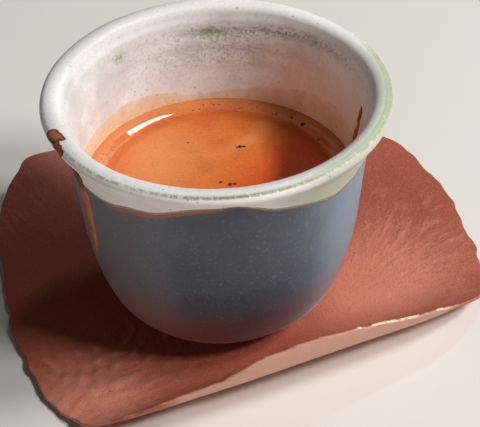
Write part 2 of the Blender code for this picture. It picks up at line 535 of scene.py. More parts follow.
        glossy = add_node(tree, "ShaderNodeMapRange", {
            0: fine, 1: 0.3, 2: 0.75, 3: self.roughness - 0.06, 4: self.roughness + 0.14,
        })
        bare_blue = add_node(tree, "ShaderNodeMapRange", {0: band, 1: 0.0, 2: -0.3, 3: 0.0, 4: 0.35}, SOFT)
        blue_sheen = add_node(tree, "ShaderNodeMath", {0: bare_blue, 1: outside}, TIMES)
        pits = add_node(tree, "ShaderNodeMapRange", {0: specks, 1: 0.04, 2: 0.12}, SOFT)
        height = add_node(tree, "ShaderNodeMath", {0: fine, 1: 0.5, 2: pits}, TIMES_PLUS)
        relief = add_node(tree, "ShaderNodeBump", {"Strength": 0.4, "Distance": 0.12 * MM, "Height": height})
        wire(tree, shader, {
            "Base Color": both, "Roughness": glossy, "Sheen Weight": blue_sheen, "Normal": relief,
            "Sheen Roughness": 0.35, "Sheen Tint": linear(self.sheen), "IOR": 1.5,
            "Coat Weight": 0.1, "Coat Roughness": 0.3,
        })
        return made


@dataclass(frozen=True)
class CremaFoam:
    """Crema, fresh espresso foam: fine wet bubbles, orange brown, redder in a ring and glossy at the wall.

    Light goes a few millimetres into it and comes back red, so its shadows are red too. Its shaded right
    is painted redder as painted shade, and a patch on its lit left paler as painted light.
    """

    middle: str = "#DC7730"
    pale: str = "#E79E64"
    deep: str = "#CC6426"
    red: str = "#D84C1A"
    ring: str = "#C2521C"
    collar: str = "#D87A34"
    pinhole: str = "#8A3A16"

    def material(self) -> bpy.types.Material:
        """Build the foam's nodes over the marks that the surface keeps.

        Returns:
            The crema.
        """
        made, shader, place = start_material("crema_foam")
        tree = made.node_tree
        reach, painted_light_and_curl, painted_shadow_red = (
            add_node(tree, "ShaderNodeAttribute", {}, {"attribute_name": name}, "Fac")
            for name in ("reach", "pale", "painted_shadow_red")
        )
        # swirls of about 10 mm from the pour
        swirl = add_node(tree, "ShaderNodeTexNoise", {
            "Vector": place, "Scale": grain(10.0), "Detail": 4.0, "Roughness": 0.5, "Distortion": 0.9,
        })
        # bubbles of 0.1 mm are too fine to show, so the grain is drawn 0.6 mm wide
        foam = add_node(tree, "ShaderNodeTexNoise", {
            "Vector": place, "Scale": grain(0.6), "Detail": 3.0, "Roughness": 0.65,
        })
        # open pinholes, one in some 2 mm
        holes = add_node(tree, "ShaderNodeTexVoronoi", {
            "Vector": place, "Scale": grain(2.1), "Randomness": 1.0,
        }, out="Distance")
        share = add_node(tree, "ShaderNodeMapRange", {0: swirl, 1: 0.30, 2: 0.58}, SOFT)
        wander = add_node(tree, "ShaderNodeMath", {0: swirl, 1: 1.6, 2: -0.8}, TIMES_PLUS)
        uneven = add_node(tree, "ShaderNodeMath", {0: reach, 1: wander}, PLUS)
        ring_in = add_node(tree, "ShaderNodeMapRange", {0: uneven, 1: 22.2, 2: 24.6}, SOFT)
        ring_out = add_node(tree, "ShaderNodeMapRange", {0: uneven, 1: 25.9, 2: 25.1, 3: 0.0, 4: 0.5}, SOFT)
        ring = add_node(tree, "ShaderNodeMath", {0: ring_in, 1: ring_out}, TIMES)
        at_wall = add_node(tree, "ShaderNodeMapRange", {0: uneven, 1: 25.2, 2: 26.2, 3: 0.0, 4: 0.9}, SOFT)
        froth = add_node(tree, "ShaderNodeMapRange", {0: foam, 1: 0.54, 2: 0.74, 3: 0.0, 4: 0.42}, SOFT)
        shadow = add_node(tree, "ShaderNodeMapRange", {0: foam, 1: 0.46, 2: 0.28, 3: 0.0, 4: 0.45}, SOFT)
        hole = add_node(tree, "ShaderNodeMapRange", {0: holes, 1: 0.09, 2: 0.04, 3: 0.0, 4: 0.6}, SOFT)
        colour = add_node(tree, "ShaderNodeMix", {
            0: share, 6: linear(self.deep), 7: linear(self.middle),
        }, RGBA, MIXED)
        # the red share is painted shade on the crema's shaded right
        for share, shade in (
            (painted_light_and_curl, self.pale), (painted_shadow_red, self.red), (ring, self.ring), (at_wall, self.collar),
            (froth, self.pale), (shadow, self.ring), (hole, self.pinhole),
        ):
            colour = add_node(tree, "ShaderNodeMix", {0: share, 6: colour, 7: linear(shade)}, RGBA, MIXED)

        dents = add_node(tree, "ShaderNodeMapRange", {0: holes, 1: 0.04, 2: 0.12}, SOFT)
        height = add_node(tree, "ShaderNodeMath", {0: foam, 1: 0.5, 2: dents}, TIMES_PLUS)
        relief = add_node(tree, "ShaderNodeBump", {"Strength": 0.2, "Distance": 0.06 * MM, "Height": height})
        wet = add_node(tree, "ShaderNodeMapRange", {0: reach, 1: 25.1, 2: 25.9, 3: 0.08, 4: 1.0}, SOFT)
        wire(tree, shader, {
            "Base Color": colour, "Normal": relief, "Coat Weight": wet, "Roughness": 0.5, "IOR": 1.34,
            "Coat Roughness": 0.03, "Coat IOR": 1.75, "Subsurface Weight": 0.55,
            "Subsurface Radius": (1.0, 0.22, 0.06), "Subsurface Scale": 3.2 * MM,
        })
        return made


@dataclass(frozen=True)
class WetCoffee:
    """Black coffee in a thin wet layer: dark red brown, and glossy."""

    name: str
    colour: str
    thin: str
    head: str = "#5C2C1C"

    def material(self) -> bpy.types.Material:
        """Build the coffee's nodes: paler where the layer is thin, darker where a run starts.

        Returns:
            The coffee.
        """
        made, shader, place = start_material(self.name)
        tree = made.node_tree
        start = add_node(tree, "ShaderNodeAttribute", {}, {"attribute_name": "start"}, "Fac")
        # clouds of 2.5 mm, where the layer is thicker and thinner
        cloudy = add_node(tree, "ShaderNodeTexNoise", {
            "Vector": place, "Scale": grain(2.5), "Detail": 3.0, "Roughness": 0.6,
        })
        thinness = add_node(tree, "ShaderNodeMapRange", {0: cloudy, 1: 0.35, 2: 0.65})
        colour = linear(self.colour)
        for share, shade in ((thinness, self.thin), (start, self.head)):
            colour = add_node(tree, "ShaderNodeMix", {0: share, 6: colour, 7: linear(shade)}, RGBA, MIXED)
        wire(tree, shader, {
            "Base Color": colour, "Roughness": 0.25, "IOR": 1.34, "Coat Weight": 0.3, "Coat Roughness": 0.1,
        })
        return made


@dataclass(frozen=True)
class Terracotta:
    """Terracotta, rolled thin by hand, cut and burnished: satin, with fine grain and paler worn ridges."""

    clay: str = "#D08570"
    clay_deep: str = "#A35543"
    worn: str = "#D2917D"
    under: str = "#F0BCA6"
    painted_shade_flush: str = "#BC5B3C"
    dark_grain: str = "#96493A"
    edge: str = "#EED3B6"
    speck: str = "#5A2A20"

    def material(self) -> bpy.types.Material:
        """Build the clay's nodes over the marks that the slab keeps.

        Returns:
            The clay.
        """
        made, shader, place = start_material("terracotta")
        tree = made.node_tree
        read = {
            name: add_node(tree, "ShaderNodeAttribute", {}, {"attribute_name": name}, "Fac")
            for name in ("to_edge", "ridge", "pallor_and_painted_light", "painted_shade_flush", "edge_dashes", "worked", "below",
                         "stroke_over", "stroke_run", "stroke_strength")
        }
        # clouds of 18 mm from the firing, grit of 0.2 mm that is drawn 0.5 mm wide so that it shows, and
        # the 3.4 mm that the pale dashes along the front edge break up by
        cloudy, grit, broken = (
            add_node(tree, "ShaderNodeTexNoise", {
                "Vector": place, "Scale": grain(width), "Detail": detail, "Roughness": rough,
            })
            for width, detail, rough in ((18.0, 4.0, 0.6), (0.5, 3.0, 0.7), (3.4, 3.0, 0.6))
        )
        # skin crinkles of about 1.5 mm, from the damp clay drying under the fingers
        crinkle = add_node(tree, "ShaderNodeTexNoise", {
            "Vector": place, "Scale": grain(1.5), "Detail": 4.0, "Roughness": 0.6, "Distortion": 0.6,
        })
        # dark specks, one in some 9 mm
        dots = add_node(tree, "ShaderNodeTexVoronoi", {
            "Vector": place, "Scale": grain(9.0), "Randomness": 1.0,
        }, out="Distance")
        # creases 1.4 mm wide and some 7 mm long, drawn out along the way the fingers went
        drawn = add_node(tree, "ShaderNodeMath", {0: read["stroke_run"], 1: 0.2}, TIMES)
        stroke_place = add_node(tree, "ShaderNodeCombineXYZ", {"X": read["stroke_over"], "Y": drawn})
        stroke = add_node(tree, "ShaderNodeTexNoise", {
            "Vector": stroke_place, "Scale": 1.0 / 1.4, "Detail": 2.0, "Roughness": 0.5,
        })

        # the paler clay mixes random clouds with the painted pools of light
        pallor_and_painted_light = add_node(tree, "ShaderNodeMath", {0: cloudy, 1: 0.6, 2: read["pallor_and_painted_light"]}, TIMES_PLUS)
        share = add_node(tree, "ShaderNodeMapRange", {0: pallor_and_painted_light, 1: 0.2, 2: 1.35}, SOFT)
        # the flush is painted shade, a deeper red in the cup's shadow
        painted_shade_flush = add_node(tree, "ShaderNodeMath", {0: read["painted_shade_flush"], 1: 0.8}, TIMES)
        light_grain = add_node(tree, "ShaderNodeMapRange", {0: grit, 1: 0.54, 2: 0.74, 3: 0.0, 4: 0.5}, SOFT)
        dark_grain = add_node(tree, "ShaderNodeMapRange", {0: grit, 1: 0.46, 2: 0.28, 3: 0.0, 4: 0.5}, SOFT)
        crest = add_node(tree, "ShaderNodeMapRange", {0: stroke, 1: 0.5, 2: 0.72, 3: 0.0, 4: 0.5}, SOFT)
        crest = add_node(tree, "ShaderNodeMath", {0: crest, 1: read["stroke_strength"]}, TIMES)
        rubbed = add_node(tree, "ShaderNodeMapRange", {
            0: read["ridge"], 1: 0.2, 2: 1.0, 3: 0.0, 4: 0.4,
        }, SOFT)
        speck = add_node(tree, "ShaderNodeMapRange", {0: dots, 1: 0.035, 2: 0.02, 3: 0.0, 4: 0.8}, SOFT)
        at_edge = add_node(tree, "ShaderNodeMapRange", {0: read["to_edge"], 1: 0.08, 2: 0.02}, SOFT)
        dash = add_node(tree, "ShaderNodeMapRange", {0: broken, 1: 0.48, 2: 0.56}, SOFT)
        for mask in (read["edge_dashes"], at_edge):
            dash = add_node(tree, "ShaderNodeMath", {0: dash, 1: mask}, TIMES)
        colour = add_node(tree, "ShaderNodeMix", {
            0: share, 6: linear(self.clay_deep), 7: linear(self.clay),
        }, RGBA, MIXED)
        # the underside's paler colour is painted bounce light from the floor
        for share, shade in (
            (painted_shade_flush, self.painted_shade_flush), (light_grain, self.worn), (dark_grain, self.dark_grain),
            (crest, self.worn), (rubbed, self.worn), (read["below"], self.under), (speck, self.speck),
            (dash, self.edge),
        ):
            colour = add_node(tree, "ShaderNodeMix", {0: share, 6: colour, 7: linear(shade)}, RGBA, MIXED)

        rough = add_node(tree, "ShaderNodeMapRange", {0: grit, 1: 0.3, 2: 0.7, 3: 0.50, 4: 0.64})
        crease = add_node(tree, "ShaderNodeMath", {0: stroke, 1: read["stroke_strength"]}, TIMES)
        worked = add_node(tree, "ShaderNodeMath", {0: crinkle, 1: read["worked"]}, TIMES)
        worked = add_node(tree, "ShaderNodeMath", {0: crease, 1: 0.95, 2: worked}, TIMES_PLUS)
        height = add_node(tree, "ShaderNodeMath", {0: grit, 1: 0.5, 2: worked}, TIMES_PLUS)
        relief = add_node(tree, "ShaderNodeBump", {"Strength": 0.9, "Distance": 0.35 * MM, "Height": height})
        wire(tree, shader, {
            "Base Color": colour, "Roughness": rough, "Normal": relief, "IOR": 1.5,
            "Specular IOR Level": 0.3,
        })
        return made


@dataclass
class Saucer:
    """A thin hand-cut slab of clay, curled up at the front and back like a shallow trough."""

    slab: float = 1.8
    edge_share: float = 0.30
    edge_band: float = 7.0
    thinnest: float = 0.02
    centre: tuple[float, float] = (3.6, 5.5)
    trough_degrees: float = 23.5
    front_flat: float = 17.3
    front_bend: float = 22.0
    back_flat: float = 20.0
    back_bend: float = 60.0
    steps: int = 400
    rings: int = 96
    # the flat disc that is cut: its own radius, and how much closer its rings lie near the edge
    blank: float = 1000.0
    ring_crowding: float = 1.15
    outline: RoundCurve = RoundCurve((
        (0, 57.7), (14, 61.3), (27, 64.0), (55, 59.8), (84, 55.0), (108, 55.8), (122, 62.6), (136, 60.0),
        (152, 54.8), (172, 53.2), (190, 54.8), (206, 57.8), (220, 58.5), (238, 50.6), (258, 50.6),
        (290, 49.2), (322, 56.0), (343, 56.2),
    ))
    # ripples that the knife left in that outline: waves in a turn, height
    cut_ripples: tuple[tuple[int, float], ...] = (
        (13, 0.2), (19, 0.2), (27, 0.15), (43, 0.13), (61, 0.09), (97, 0.05),
    )
    # where the fan of creases at the right spreads from, and what the finest arcs at the left go round
    fan_centre: tuple[float, float] = (16.0, -20.0)
    swirl_centre: tuple[float, float] = (-34.0, -4.0)
    # the pressed creases: apart by degrees in the fan and by millimetres elsewhere, and their heights
    fan_spacing: float = 7.5
    rake_spacing: float = 3.1
    arc_spacing: float = 3.8
    fan_height: float = 0.09
    rake_height: float = 0.08
    arc_height: float = 0.20
    crinkle_height: float = 0.10
    # the share by which a face has to look up, or to the trough's middle, to be on the upper side
    upper_side: float = 0.35
    # how far out a turn in the fan and round the swirl is measured as a distance
    fan_radius: float = 27.0
    swirl_radius: float = 18.0
    # the pressed arcs at the left: middle along and across, and how widely they spread
    pressed_arcs: Triples = ((-40.0, -1.0, 14.0), (-57.0, -6.0, 12.0), (-27.0, -28.0, 10.0))
    creased: tuple[Patch, ...] = (
        Patch(45.0, -8.0, 15.0, 20.0), Patch(-35.0, 45.0, 12.0, 14.0), Patch(-36.0, -18.0, 17.0, 17.0, 0.5),
    )
    # pools of painted light: beside the cup at the right, at the lower left and at the upper left tip
    pale: tuple[Patch, ...] = (
        Patch(29.0, -14.0, 17.0, 17.0, 1.15), Patch(-50.0, -24.0, 17.0, 16.0, 1.2),
        Patch(-20.0, 57.0, 10.0, 12.0, 1.2),
    )
    # painted shade: a deeper, redder clay where the cup's shadow falls at the left, and beside the cup at
    # the right
    painted_shade_flushed: tuple[Patch, ...] = (Patch(22.0, -6.0, 16.0, 14.0, 0.35), Patch(-46.0, 14.0, 18.0, 22.0, 0.5))

    def reach(self, degrees: np.ndarray) -> np.ndarray:
        """Give the slab's radius before it is bent.

        Args:
            degrees: Angles from the trough's axis.

        Returns:
            The radius at each, in millimetres.
        """
        radius = self.outline.at(degrees)
        angle = np.radians(degrees)
        for count, height in self.cut_ripples:
            radius = radius + height * np.sin(count * angle + count)
        return radius

    def bend(self, reach: np.ndarray, flat: float, radius: float) -> tuple[np.ndarray, np.ndarray]:
        """Lay a distance over the trough's flat bottom and then its round side."""
        arc = np.maximum(reach - flat, 0.0) / radius
        return np.minimum(reach, flat) + radius * np.sin(arc), radius * (1.0 - np.cos(arc))

    def bent(self, along: np.ndarray, across: np.ndarray, lift: np.ndarray) -> np.ndarray:
        """Place points of the flat slab on the curled one.

        Args:
            along: Distance along the trough from the slab's centre.
            across: Distance across it.
            lift: How far each point is moved up, before the slab is bent.

        Returns:
            The points, in millimetres.
        """
        angle = math.radians(self.trough_degrees)
        cos_a = math.cos(angle)
        sin_a = math.sin(angle)
        along = along + self.centre[0] * cos_a + self.centre[1] * sin_a
        across = across + self.centre[1] * cos_a - self.centre[0] * sin_a
        front, front_rise = self.bend(-across, self.front_flat, self.front_bend)
        back, back_rise = self.bend(across, self.back_flat, self.back_bend)
        offset = np.where(across < 0.0, -front, back)
        rise = np.where(across < 0.0, front_rise, back_rise)
        x = along * cos_a - offset * sin_a
        y = along * sin_a + offset * cos_a
        return np.stack([x, y, self.slab / 2 + rise + lift], axis=1)

    def worked_zones(self, along: np.ndarray, across: np.ndarray) -> np.ndarray:
        """Give how much the fingers creased the clay at each point, from 0 to 1."""
        return np.clip(sum(patch.at(along, across) for patch in self.creased), 0.0, 1.0)

    def strokes(self, along: np.ndarray, across: np.ndarray) -> dict[str, np.ndarray]:
        """Lay out the finest creases: a fan at the right, a rake at the upper left, arcs at the lower left.

        Args:
            along: Distance of each point along the trough.
            across: Its distance across it.

        Returns:
            Its distance over its creases, the distance along them and their strength, by name.
        """
        fan_turn, fan_reach = round_centre(along, across, self.fan_centre)
        fan = Patch(44.0, -6.0, 14.0, 18.0).at(along, across) * smooth_step(along, 12.0, 22.0)
        swirl_turn, swirl_reach = round_centre(along, across, self.swirl_centre)
        swirl = Patch(-40.0, -22.0, 15.0, 14.0, 0.7).at(along, across) * smooth_step(-across, 2.0, 8.0)
        rake = Patch(-38.0, 42.0, 9.0, 11.0, 0.55).at(along, across)
        right = along > 12.0
        upper = across > 2.0
        slanted = along + 0.25 * across
        over = np.where(right, fan_turn * self.fan_radius, np.where(upper, slanted, swirl_reach))
        run = np.where(right, fan_reach, np.where(upper, across, swirl_turn * self.swirl_radius))
        strength = np.where(right, fan, np.where(upper, rake, swirl))
        return {"stroke_over": over, "stroke_run": run, "stroke_strength": strength}

    def wrinkles(self, along: np.ndarray, across: np.ndarray) -> np.ndarray:
        """Give the fine relief that the maker's fingers left on the upper face.

        Args:
            along: Distance of each point along the trough.
            across: Its distance across it.

        Returns:
            How far each point stands up, in millimetres.
        """
        flat = np.stack([along, across, np.zeros_like(along)], axis=1)
        wander = clay_noise(flat, 9.0, 3.0)
        broken = clay_noise(flat, 4.0, 11.0)
        angle = np.degrees(round_centre(along, across, self.fan_centre)[0])
        fan = np.cos(np.radians(angle + 5.0 * wander) * 360.0 / self.fan_spacing)
        fan_zone = Patch(43.0, -8.0, 13.0, 17.0).at(along, across)
        rake = np.cos((along + 1.2 * wander) * 2 * math.pi / self.rake_spacing)
        rake_zone = Patch(-35.0, 45.0, 9.0, 12.0).at(along, across)
        arcs = np.zeros_like(along)
        for middle_x, middle_y, width in self.pressed_arcs:
            distance = np.hypot(along - middle_x, across - middle_y)
            lower = smooth_step(middle_y - across, -4.0, 6.0)
            crests = np.cos((distance + 1.6 * wander) * 2 * math.pi / self.arc_spacing)
            arcs += crests * bump(distance, 15.0, width * 0.7) * lower
        keep = smooth_step(broken, -0.35, 0.25)
        pressed = (
            self.fan_height * fan * fan_zone + self.rake_height * rake * rake_zone + self.arc_height * arcs
        ) * keep
        return pressed + self.crinkle_height * clay_noise(flat, 2.6, 17.0) * self.worked_zones(along, across)

    def build(self, finish: Terracotta) -> bpy.types.Object:
        """Model the slab and dress it.

        Args:
            finish: The clay's finish.

        Returns:
            The finished slab.
        """
        shares = [1.0 - (1.0 - ring / self.rings) ** self.ring_crowding for ring in range(self.rings + 1)]
        piece = lathe("saucer_slab", [(self.blank * share, 0.0) for share in shares], self.steps)
        points = positions(piece)
        share = np.minimum(np.hypot(points[:, 0], points[:, 1]) / self.blank, 1.0)
        degrees = np.degrees(np.arctan2(points[:, 1], points[:, 0])) % 360.0
        radius = self.reach(degrees)
        along = share * radius * np.cos(np.radians(degrees))
        across = share * radius * np.sin(np.radians(degrees))
        flat = np.stack([along, across, np.zeros_like(along)], axis=1)
        standing = smooth_step(np.abs(across - 1.0), 17.0, 30.0)
        rolling = 0.30 * clay_noise(flat, 24.0, 1.0) + 0.07 * clay_noise(flat, 7.0, 5.0)
        place_points(piece, self.bent(along, across, rolling * standing))
        to_edge = (1.0 - share) * radius
        pinch = self.edge_share + 0.10 * clay_noise(flat, 5.0, 9.0)
        weight = np.minimum(pinch + (1.0 - pinch) * to_edge / self.edge_band, 1.0)
        front_edge = smooth_step(-across, 26.0, 34.0) * smooth_step(along, 1.0, 8.0)
        store(piece, {
            "to_edge": to_edge,
            "slab_along": along,
            "slab_across": across,
            **self.strokes(along, across),
            "pallor_and_painted_light": np.clip(sum(patch.at(along, across) for patch in self.pale), 0.0, 1.2),
            "painted_shade_flush": sum(patch.at(along, across) for patch in self.painted_shade_flushed),
            "edge_dashes": front_edge * smooth_step(-along, -37.0, -30.0),
            "worked": 0.25 + 0.75 * self.worked_zones(along, across),
        })
        group = piece.vertex_groups.new(name="body")
        for index, value in enumerate(weight):
            group.add([index], float(value), "REPLACE")
        wall = piece.modifiers.new("slab", "SOLIDIFY")
        wall.thickness = self.slab * MM
        wall.offset = 0.0
        wall.vertex_group = "body"
        wall.thickness_vertex_group = self.thinnest
        bpy.ops.object.modifier_apply(modifier="slab")
        self.press(piece)
        piece.data.materials.append(finish.material())
        return piece

    def press(self, piece: bpy.types.Object) -> None:
        """Press the wrinkles into the slab's upper face, and mark its ridges and the painted bounce light on
        its front underside.

        Args:
            piece: The slab, with its thickness.
        """
        count = len(piece.data.vertices)
        normals = np.zeros(count * 3, np.float32)
        piece.data.vertices.foreach_get("normal", normals)
        normals = normals.reshape(-1, 3).astype(float)
        along = np.zeros(count, np.float32)
        across = np.zeros(count, np.float32)
        piece.data.attributes["slab_along"].data.foreach_get("value", along)
        piece.data.attributes["slab_across"].data.foreach_get("value", across)
        angle = math.radians(self.trough_degrees)
        inward = Vector((math.sin(angle), -math.cos(angle), 0.0))
        towards_middle = normals @ np.array(inward) * np.sign(across + 1e-6)
        upper = (normals[:, 2] + np.maximum(towards_middle, 0.0)) > self.upper_side
        relief = self.wrinkles(along.astype(float), across.astype(float)) * upper
        # painted bounce light: the underside of the front curl is marked paler along this span
        painted_light_span = smooth_step(along, -37.0, -29.0) * smooth_step(-along, -38.0, -31.0)
        store(piece, {
            "ridge": relief / self.arc_height,
            "below": 0.72 * painted_light_span * smooth_step(-(normals[:, 2] + towards_middle), 0.0, 0.5),
        })
        place_points(piece, positions(piece) + normals * relief[:, None])


@dataclass
class Cup:
    """A handleless cup thrown on a wheel, with a rounded flared lip."""

    lift: float = 2.1
    rim_radius: float = 37.3
    steps: int = 300
    per_span: int = 6
    outer_wall: Pairs = (
        (13.5, 0.0), (16.8, 0.45), (20.9, 3.3), (24.9, 7.7), (27.6, 14.3), (29.7, 23.2), (30.9, 33.1),
        (32.1, 43.0), (33.7, 48.6), (35.5, 52.2), (36.3, 53.2), (37.05, 54.3),
    )
    lip: Pairs = ((33.25, 55.6), (34.0, 56.17), (35.05, 56.4), (36.1, 56.24), (36.85, 55.8), (37.27, 55.1))
    inner_wall: Pairs = (
        (0.0, 3.8), (11.0, 4.3), (17.5, 6.0), (21.9, 9.3), (25.2, 14.6), (27.8, 23.2), (29.2, 33.1),
        (30.3, 43.0), (31.1, 48.6), (31.85, 52.0), (32.35, 53.6), (32.75, 54.7),
    )
    foot: Pairs = ((12.9, -0.25), (9.0, -0.25), (8.0, 0.2), (0.0, 0.3))
    glaze_step: float = 0.16
    # what the thrower's hands left: the wall's oval and the lip's waves as count, height and shift, and
    # the throwing rings as spacing, height and shift, on a spiral that rises by so much a turn
    oval: Triples = ((2, 0.10, 0.7), (3, 0.06, 2.0))
    lip_waves: Triples = ((1, 0.12, 1.0), (3, 0.10, 0.0), (7, 0.05, 2.0))
    rings_inside: Triples = ((4.6, 0.07, 0.0), (1.9, 0.03, 1.0))
    rings_outside: Triples = ((5.2, 0.035, 0.0), (2.3, 0.02, 0.0))
    rise_a_turn: float = 4.6
    # where the band of white stops, as a height against the angle
    band_edge: RoundCurve = RoundCurve((
        (-148, 45.0), (-140, 45.0), (-132, 45.6), (-124, 47.0), (-117, 47.5), (-112, 48.2), (-104, 50.3),
        (-97, 51.9), (-90, 52.5), (-85, 53.0), (-80, 51.4), (-71, 48.8), (-63, 47.6), (-54, 46.0),
        (-44, 44.6), (-34, 45.0), (-25, 45.7), (-5, 47.4), (15, 46.2), (38, 48.6), (60, 47.0), (85, 50.2),
        (104, 47.4), (128, 46.0), (150, 48.8), (172, 45.6), (194, 44.6),
    ))
    # how high the film of coffee reaches inside
    film_edge: RoundCurve = RoundCurve((
        (-170, 38.0), (-120, 37.6), (-60, 37.4), (-10, 38.2), (10, 39.4), (30, 40.6), (50, 39.6), (70, 37.4),
        (92, 35.4), (104, 35.6), (114, 37.4), (134, 38.5), (151, 38.0), (169, 38.1),
    ))
    # green over the lip and at its outer edge, as shares; how white the lip is and how pale the blue is, as
    # shares of painted light and shade
    green_share: RoundCurve = RoundCurve((
        (-160, 0.0), (-112, 0.05), (-98, 0.55), (-62, 0.6), (-44, 0.9), (16, 0.9), (29, 0.4), (46, 0.3),
        (82, 0.3), (100, 0.1), (150, 0.0),
    ))
    edge_green: RoundCurve = RoundCurve((
        (-160, 0.35), (-140, 0.6), (-112, 0.6), (-98, 0.9), (-62, 0.85), (-44, 0.5), (28, 0.4), (60, 0.4),
        (100, 0.2), (150, 0.2),
    ))
    lip_painted_light_and_shade: RoundCurve = RoundCurve((
        (-160, 0.3), (-138, 0.5), (-115, 0.58), (-88, 0.36), (-65, 0.26), (-45, 0.04), (-20, 0.3), (0, 0.05),
        (14, 0.4), (28, 0.85), (48, 1.0), (68, 0.98), (92, 0.8), (115, 0.3), (135, 0.12), (160, 0.3),
        (180, 0.8),
    ))
    paleness_and_painted_light: RoundCurve = RoundCurve((
        (-142, 0.34), (-127, 0.40), (-112, 0.36), (-97, 0.14), (-82, 0.0), (-67, 0.06), (-52, 0.36),
        (-37, 0.85), (-25, 1.0), (5, 1.0), (60, 0.7), (120, 0.4), (180, 0.35),
    ))
    # two green spots inside, as angle and height with the reach of each, and the stain over the lip, as
    # distance round it, distance over it and radius, counted from the stain's own angle
    green_spots: tuple[Patch, ...] = (Patch(91.0, 50.5, 7.0, 1.2, 0.9), Patch(133.0, 49.9, 2.4, 0.9, 0.9))
    stain_angle: float = -154.0
    stain_spots: Triples = (
        (-3.2, 1.5, 1.5), (-1.6, 1.0, 1.4), (-0.3, 0.2, 0.8), (0.4, 2.0, 1.0), (1.6, 2.1, 1.0),
        (3.0, 2.4, 0.9), (3.2, 3.6, 0.8),
    )

    def profile(self) -> list[tuple[float, float]]:
        """Give the wall's section, from the middle of its inside over the lip to the middle of its foot."""
        wall = self.inner_wall + self.lip + self.outer_wall[::-1]
        return curve_through(wall, self.per_span) + list(self.foot)

    def wall_radius(self, side: Side, height: np.ndarray) -> np.ndarray:
        """Give the plain wall's radius.

        Args:
            side: Which face of the wall.
            height: Heights above the base.

        Returns:
            The radius at each, in millimetres.
        """
        table = self.inner_wall if side is Side.INSIDE else self.outer_wall
        radii, heights = zip(*curve_through(table, self.per_span))
        return np.interp(height, heights, radii)

    def handwork(self, side: Side, degrees: np.ndarray, height: np.ndarray) -> np.ndarray:
        """Give how far the thrower's hands, and the glaze's own thickness, moved the wall in or out.

        Args:
            side: Which face of the wall.
            degrees: Angle of each point.
            height: Its height above the base.

        Returns:
            The move at each point, in millimetres.
        """
        oval = waves(np.radians(degrees), self.oval)
        rising = height + degrees / 360.0 * self.rise_a_turn
        table = self.rings_inside if side is Side.INSIDE else self.rings_outside
        rings = sum(tall * np.sin(rising * 2 * math.pi / apart + shift) for apart, tall, shift in table)
        if side is Side.INSIDE:
            return oval + rings * smooth_step(height, 30.0, 38.0)
        return oval + rings + self.glaze_step * smooth_step(height - self.band_edge.at(degrees), -0.35, 0.25)

    def build(self, finish: StonewareGlaze) -> bpy.types.Object:
        """Model the cup and dress it.

        Args:
            finish: The glazes.

        Returns:
            The finished cup.
        """
        section = self.profile()
        piece = lathe("cup_thrown", section, self.steps)
        points = positions(piece)
        radius = np.hypot(points[:, 0], points[:, 1])
        degrees = np.degrees(np.arctan2(points[:, 1], points[:, 0]))
        height = points[:, 2].copy()
        # how far each point lies over the lip from its crown, along the section and below 0 inside
        table = np.array(section)
        lengths = np.concatenate([[0.0], np.cumsum(np.hypot(*np.diff(table, axis=0).T))])
        crown = int(np.argmax(table[:, 1]))
        gaps = (radius[:, None] - table[None, :, 0]) ** 2 + (height[:, None] - table[None, :, 1]) ** 2
        nearest = np.argmin(gaps, axis=1)
        arc = lengths[nearest] - lengths[crown]
        outside = smooth_step(arc, -2.6, 2.6)
        push_in = self.handwork(Side.INSIDE, degrees, height)
        push_out = self.handwork(Side.OUTSIDE, degrees, height)
        near_axis = smooth_step(radius, 12.0, 24.0)
        push = (push_in * (1.0 - outside) + push_out * outside) * near_axis
        top = smooth_step(height, 50.0, 56.0)
        angle = np.radians(degrees)
        points[:, 0] = (radius + push) * np.cos(angle)
        points[:, 1] = (radius + push) * np.sin(angle)
        points[:, 2] = height - np.abs(waves(angle, self.lip_waves) * top) + self.lift
        place_points(piece, points)
        self.mark(piece, arc, degrees, height)
        piece.data.materials.append(finish.material())
        return piece

    def mark(
        self, piece: bpy.types.Object, arc: np.ndarray, degrees: np.ndarray, height: np.ndarray,
    ) -> None:
        """Keep where each glaze, smudge and stain lies, and where light, shade and reflections are painted,
        for the material.

        Args:
            piece: The cup.
            arc: Distance over the lip from its crown, below 0 inside, at each point.
            degrees: Angle of each point.
            height: Height of each point above the base.
        """
        inside = arc < 0.0
        above_band = height - self.band_edge.at(degrees)
        right_side = within_turn(degrees, -10.0, 35.0, 60.0)
        left = within_turn(degrees, -108.0, 48.0, 72.0)

        # green over the lip, wider at the right, with one bare spot near the front
        green = np.clip(self.green_share.at(degrees), 0.0, 1.0)
        green = green * (1.0 - 0.9 * near_turn(degrees, -81.0, 1.1))
        lip_tint = smooth_step(arc - (1.0 - 0.6 * right_side), -0.25, 0.35)
        lip_tint = lip_tint + 0.35 * right_side * smooth_step(arc, -2.6, -0.4)
        lip_green = green * np.clip(lip_tint, 0.0, 1.0) * smooth_step(-arc, -1.95, -1.5)
        under_lip = smooth_step(degrees, -78.0, -62.0) * smooth_step(-degrees, 8.0, 22.0)
        smear = 0.55 * under_lip * bump(above_band, 2.3, 1.7) * ~inside
        edge_green = np.clip(self.edge_green.at(degrees), 0.0, 1.0)
        deep_moss = edge_green * smooth_step(arc, 1.2, 1.5) * smooth_step(-arc, -2.15, -1.85)
        spots = sum(
            spot.strength * near_turn(degrees, spot.x, spot.reach_x) * bump(height, spot.y, spot.reach_y)
            for spot in self.green_spots
        ) * inside

        # smoke at the back of the inside, with a grey line under the lip that is partly smoke and partly
        # painted shade, and painted warm bounce light from the crema on its right
        smoke_rise = 1.7 * smooth_step(-degrees, -86.0, -48.0)
        smoke_and_painted_shade_line = bump(height - smoke_rise, 50.6, 1.1) * near_turn(degrees, 62.0, 44.0)
        smoke_field = 0.55 * bump(height, 46.0, 4.0) * near_turn(degrees, 85.0, 34.0)
        painted_peach_bounce = 0.52 * within_turn(degrees, 18.0, 36.0, 62.0) * inside * smooth_step(-height, -54.0, -42.0)

